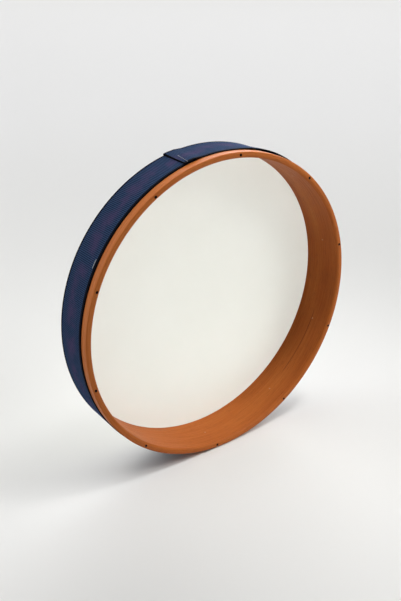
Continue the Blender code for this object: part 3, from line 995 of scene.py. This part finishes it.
def webbing_finish():
    """Painted rib light and shade, warp yarns, a purple middle, black selvedges and a fold painted as shade.
    """
    material, tree, shader = new_finish("navy_webbing")
    surface = surface_place(tree)
    axes = axes_of(tree, surface)
    wave = arithmetic(tree, "COSINE", arithmetic(tree, "MULTIPLY", axes["X"], tau * rib_count / band_length))
    # Painted highlight on each rib's top and painted shade in its groove, in step with the real ribs.
    painted_crest_light = arithmetic(tree, "MULTIPLY_ADD", wave, -0.5, 0.5)
    yarns = noise(tree, surface, scale=(160.0, 2600.0, 1.0))
    slubs = noise(tree, surface, scale=(420.0, 160.0, 1.0))
    cast = noise(tree, surface, scale=(45.0, 40.0, 1.0))

    colour = ramp(tree, blend(tree, painted_crest_light, yarns, CREST_LIGHT_SHARE), *NAVY_STOPS)
    off_middle = away_from(tree, axes["Y"], band_width / 2)
    in_middle = between(tree, off_middle, PURPLE_FULL, PURPLE_NONE, PURPLE_SHARE, 0.0)
    purple = arithmetic(tree, "MULTIPLY", in_middle, between(tree, cast, low=0.36, high=0.62))
    on_yarns = between(tree, yarns, low=0.35, high=0.6, to_low=0.4, to_high=1.0)
    purple = arithmetic(tree, "MULTIPLY", purple, on_yarns)
    colour = tinted(tree, purple, colour, PURPLE_YARN)
    look = {
        "Base Color": tinted(tree, black_yarn_and_shade(tree, axes), colour, BLACK_YARN_AND_SHADE),
        "Roughness": varied(tree, yarns, 0.90, 0.75),
        "Specular IOR Level": 0.02,
        "Sheen Weight": 0.03,
        "Sheen Roughness": 0.4,
        "Sheen Tint": (0.40, 0.36, 0.85, 1.0),
    }
    set_inputs(tree, shader, look)
    bumped(tree, shader, blend(tree, yarns, slubs, share=0.7), distance=0.00012, strength=0.8)
    return material


dress(band, webbing_finish(), "navy_webbing", "drum", "band")
print("webbing ribs every", round(band_length / rib_count * 1000, 3), "mm")

# %% [markdown]
# ## The seam at the band's end
#
# A slanting row of grey stitches holds the back half of the tucked end down. Each stitch is a short thread
# that dips into the webbing at both ends. One stitch and an Array modifier could make the row. Here a
# stitch is a bent capsule, a circle carried along a low arch and thinner towards its ends, and all of them
# are one array. They lie on the top layer of the strip, a little inside its fold.

# %% Stitches
SEAM_START = (radians(-14.75), 0.0123)
SEAM_END = (radians(-13.52), 0.0382)
STITCH_COUNT = 8
STITCH_LENGTH = 0.0028
STITCH_ARCH = 0.00022
STITCH_SINK = 0.0002
STITCH_TAPER = 6
STITCH_ROWS = 15
STITCH_COLUMNS = 10
THREAD_RADIUS = 0.00032
THREAD_STOPS = ((0.3, (0.17, 0.18, 0.22)), (0.7, (0.32, 0.33, 0.37)))

seam_share = (np.arange(STITCH_COUNT) + 0.5) / STITCH_COUNT
seam_run = np.subtract(SEAM_END, SEAM_START)
seam_clock = SEAM_START[0] + seam_run[0] * seam_share
seam_depth = SEAM_START[1] + seam_run[1] * seam_share
seam_direction = seam_run * (band_base, 1.0)
seam_direction /= np.linalg.norm(seam_direction)
end_distance = (seam_clock - BAND_END_CLOCK) * band_base
seam_lift = corner_lift(end_distance, seam_depth - BAND_BACK)
seam_radius = band_base + band_layer * layers_below(end_distance) + half_thick + seam_lift

way = np.linspace(-1.0, 1.0, STITCH_ROWS)
turn = turns(STITCH_COLUMNS)
arch = STITCH_ARCH * (1.0 - way**2) - STITCH_SINK
girth = THREAD_RADIUS * np.sqrt(np.clip(1.0 - np.abs(way) ** STITCH_TAPER, 0.0, 1.0))
along = way[None, :, None] * STITCH_LENGTH / 2
aside = (girth[:, None] * np.cos(turn))[None]
above = (arch[:, None] + girth[:, None] * np.sin(turn))[None]
way_round = along * seam_direction[0] + aside * seam_direction[1]
stitch_clock = seam_clock[:, None, None] + way_round / band_base
stitch_depth = seam_depth[:, None, None] + along * seam_direction[1] - aside * seam_direction[0]
stitches = skin("band_stitches", drum_point(stitch_clock, seam_radius[:, None, None] + above, stitch_depth))
smooth(stitches, angle=80)


def thread_finish():
    """Grey thread with a fine twist."""
    material, tree, shader = new_finish("seam_thread")
    twist = noise(tree, object_place(tree), scale=(2500.0, 900.0, 2500.0))
    rough = varied(tree, twist, 0.85, 0.65)
    set_inputs(tree, shader, {"Base Color": ramp(tree, twist, *THREAD_STOPS), "Roughness": rough})
    bumped(tree, shader, twist, distance=0.00005, strength=0.7)
    return material


dress(stitches, thread_finish(), "navy_webbing", "drum")
print("stitches:", STITCH_COUNT)

# %% [markdown]
# ## The staple
#
# One wire staple holds the band near its back edge on the left. Its wire is a little flat. A bevelled
# curve would give it a round wire, so a rounded rectangle is carried along the staple's line instead: up
# one leg, round a bend, along the crown, round the other bend and down. The section is laid out on the
# line's own normal and the drum's depth axis, so it turns with the line.

# %% Staple
STAPLE_BEND = 0.0008
STAPLE_BEND_STEPS = 8
WIRE_HALF_FLAT = 0.00030
WIRE_HALF_WIDE = 0.00036
WIRE_SQUARENESS = 0.7
WIRE_COLUMNS = 14
WIRE_SCRATCHES = (1500.0,) * 3
STAPLE_TONES = ((0.17, 0.18, 0.19), (0.28, 0.29, 0.31))
STAPLE_ROUGHNESS = 0.40


def squared(wave):
    """A sine or cosine bent towards a square: its size to a power below one, with its own sign."""
    return np.sign(wave) * np.abs(wave) ** WIRE_SQUARENESS


bend_middle = STAPLE_HALF - STAPLE_BEND
left_bend = arc((-bend_middle, -STAPLE_BEND), STAPLE_BEND, 180, 90, STAPLE_BEND_STEPS)
right_bend = arc((bend_middle, -STAPLE_BEND), STAPLE_BEND, 90, 0, STAPLE_BEND_STEPS)
left_foot, right_foot = (-STAPLE_HALF, -STAPLE_LEG), (STAPLE_HALF, -STAPLE_LEG)
staple_line = np.vstack(([left_foot], left_bend, right_bend, [right_foot]))
ahead = np.gradient(staple_line, axis=0)
ahead /= np.linalg.norm(ahead, axis=1, keepdims=True)
normal = joined(-ahead[:, 1], ahead[:, 0])
turn = turns(WIRE_COLUMNS)
flat_offset = WIRE_HALF_FLAT * squared(np.cos(turn))
flat_way = staple_line[:, None, :] + flat_offset[None, :, None] * normal[:, None, :]
wide_way = np.broadcast_to(WIRE_HALF_WIDE * squared(np.sin(turn)), flat_way.shape[:2])
ends = np.repeat(staple_line[[0, -1], None, :], len(turn), axis=1)
flat_way = np.concatenate((ends[:1], flat_way, ends[1:]))
wide_way = np.vstack((0 * wide_way[:1], wide_way, 0 * wide_way[:1]))
crown_radius = DRUM_RADIUS * flats + WIRE_HALF_FLAT
staple_points = (
    drum_point(STAPLE_CLOCK, crown_radius + flat_way[..., 1], STAPLE_DEPTH + wide_way)
    + flat_way[..., :1] * np.array([cos(STAPLE_CLOCK), 0.0, -sin(STAPLE_CLOCK)])
)
staple = skin("staple_wire", staple_points)
smooth(staple, angle=50)
bright_steel = metal_finish("bright_steel", STAPLE_TONES, STAPLE_ROUGHNESS, WIRE_SCRATCHES)
dress(staple, bright_steel, "bright_steel", "drum", "band_staple")
print("staple faces:", len(staple.data.polygons))

# %% [markdown]
# ## The lock pins
#
# Each tuner is three pieces: a brass sleeve set in the wood, a pin from the inner wall that keeps it from
# turning, and a hex-socket screw that runs in the sleeve. Only the pin's head shows, as a pale dot on the
# inner wall, warm because the stain and the lacquer went over it. A pin could be a scaled sphere on a
# cylinder, but one section, a low dome, a head and a shank, leaves no faces hidden inside.

# %% Lock pins
PIN_DOME = 0.00022
PIN_COLUMNS = 24
DOME_ROWS = 6
INSERT_RADIUS = 0.00213
PIN_TONES = ((0.48, 0.22, 0.10), (0.66, 0.32, 0.15))
PIN_ROUGHNESS = 0.48


def tuner_pieces(kind, shapes, material, slot, node, body="drum", angle=40, close_rows=False):
    """One piece for each tuner, with its number in its name, in its node's, and in its body's if that has a
    place for it."""
    for number, points in enumerate(shapes, start=1):
        piece = skin(f"{kind}_{number:02d}", points, close_rows=close_rows)
        smooth(piece, angle)
        dress(piece, material, slot, body.format(number), f"{node}_{number:02d}")


pin_tip = TUNER_CIRCLE - INSERT_RADIUS - CLEARANCE - inner_radius
dome_turn = np.linspace(0.0, 1.0, DOME_ROWS) * pi / 2
dome = joined(PIN_HEAD_RADIUS * np.sin(dome_turn), -PIN_DOME * np.cos(dome_turn))
shank = [(PIN_HEAD_RADIUS, PIN_HEAD), (PIN_RADIUS, PIN_HEAD), (PIN_RADIUS, pin_tip), (0.0, pin_tip)]
pins = radial_bars(tuner_clocks, inner_radius, PIN_DEPTH, np.vstack((dome, shank)), PIN_COLUMNS)
stained_steel = metal_finish("stained_steel", PIN_TONES, PIN_ROUGHNESS)
tuner_pieces("pin", pins, stained_steel, "bright_steel", "lock_pin")
print("pins:", len(pins), "tip at", round(pin_tip * 1000, 2), "mm from the wall")

# %% [markdown]
# ## The tuning screws
#
# The screws are out of sight, but their thread shows how they work. A Screw modifier could wind one. Here
# the radius goes up and down with the depth less the turn, so the ridge climbs one pitch for each turn
# round, and a cone takes the thread down at both ends. The socket for the key is a hexagon: half the key's
# width over the cosine of the angle from the middle of the nearest flat.

# %% Tuning screws
SCREW_RADIUS = 0.0015
SCREW_ROOT = 0.00123
SCREW_END = 0.0010
SCREW_LENGTH = 0.025
SCREW_TAIL = 0.028
SCREW_COLUMNS = 24
THREAD_PITCH = 0.0005
THREAD_STEPS = 8
THREAD_FLAT = 0.125
KEY_WIDTH = 0.0015
KEY_DEPTH = 0.002
SCREW_TONES = ((0.030, 0.030, 0.033), (0.070, 0.070, 0.075))
SCREW_ROUGHNESS = 0.42

screw_turn = turns(SCREW_COLUMNS)
thread_turns = SCREW_LENGTH / THREAD_PITCH
screw_way = np.arange(int(thread_turns * THREAD_STEPS) + 1) * THREAD_PITCH / THREAD_STEPS
ridge = np.abs(2.0 * ((screw_way[:, None] / THREAD_PITCH - screw_turn / tau) % 1.0) - 1.0)
flattened = np.clip((1.0 + 2.0 * THREAD_FLAT) * ridge - THREAD_FLAT, 0.0, 1.0)
thread = SCREW_ROOT + (SCREW_RADIUS - SCREW_ROOT) * flattened
cone = SCREW_END + np.minimum(screw_way, SCREW_LENGTH - screw_way)[:, None]
thread = np.minimum(thread, cone)
hexagon = KEY_WIDTH / 2 / np.cos((screw_turn + pi / 6) % (pi / 3) - pi / 6)
nothing = np.zeros(SCREW_COLUMNS)
end_ring = np.full(SCREW_COLUMNS, SCREW_END)
screw_reach = np.vstack((nothing, hexagon, hexagon, end_ring, thread, end_ring, nothing))
screw_depth = np.concatenate(([KEY_DEPTH, KEY_DEPTH, 0.0, 0.0], screw_way, [SCREW_LENGTH, SCREW_LENGTH]))

screws = axial_bars(screw_reach, screw_depth, SCREW_TAIL)
black_steel = metal_finish("black_steel", SCREW_TONES, SCREW_ROUGHNESS)
tuner_pieces("screw", screws, black_steel, "black_steel", "tuning_screw", body="screw_{:02d}", angle=50)
print("screws:", len(screws), "with", int(thread_turns), "turns of thread each")

# %% [markdown]
# ## The threaded inserts
#
# Each sleeve is knurled so that it grips the wood: its outer radius dips and rises with the cosine of the
# turn, twenty times round. A Boolean could cut the grooves one by one, but in a grid they are one line.
# The bore stays plain, because the screw fills it.

# %% Threaded inserts
INSERT_BACK = 0.0241
INSERT_LENGTH = 0.008
INSERT_BORE = 0.00160
INSERT_BREAK = 0.0002
KNURL_COUNT = 20
KNURL_STEPS = 4
KNURL_DEPTH = 0.00012
INSERT_TONES = ((0.50, 0.35, 0.13), (0.66, 0.49, 0.21))
INSERT_ROUGHNESS = 0.36

insert_turn = turns(KNURL_COUNT * KNURL_STEPS)
knurl = INSERT_RADIUS - KNURL_DEPTH * (0.5 - 0.5 * np.cos(KNURL_COUNT * insert_turn))
end_radius = np.full_like(insert_turn, INSERT_RADIUS - INSERT_BREAK)
bore = np.full_like(insert_turn, INSERT_BORE)
insert_reach = np.vstack((bore, end_radius, knurl, knurl, end_radius, bore))
insert_depth = np.array([0.0, 0.0, INSERT_BREAK, INSERT_LENGTH - INSERT_BREAK, INSERT_LENGTH, INSERT_LENGTH])

inserts = axial_bars(insert_reach, insert_depth, INSERT_BACK)
brass = metal_finish("brass", INSERT_TONES, INSERT_ROUGHNESS)
tuner_pieces("insert", inserts, brass, "brass", "threaded_insert", close_rows=True)
print("inserts:", len(inserts))
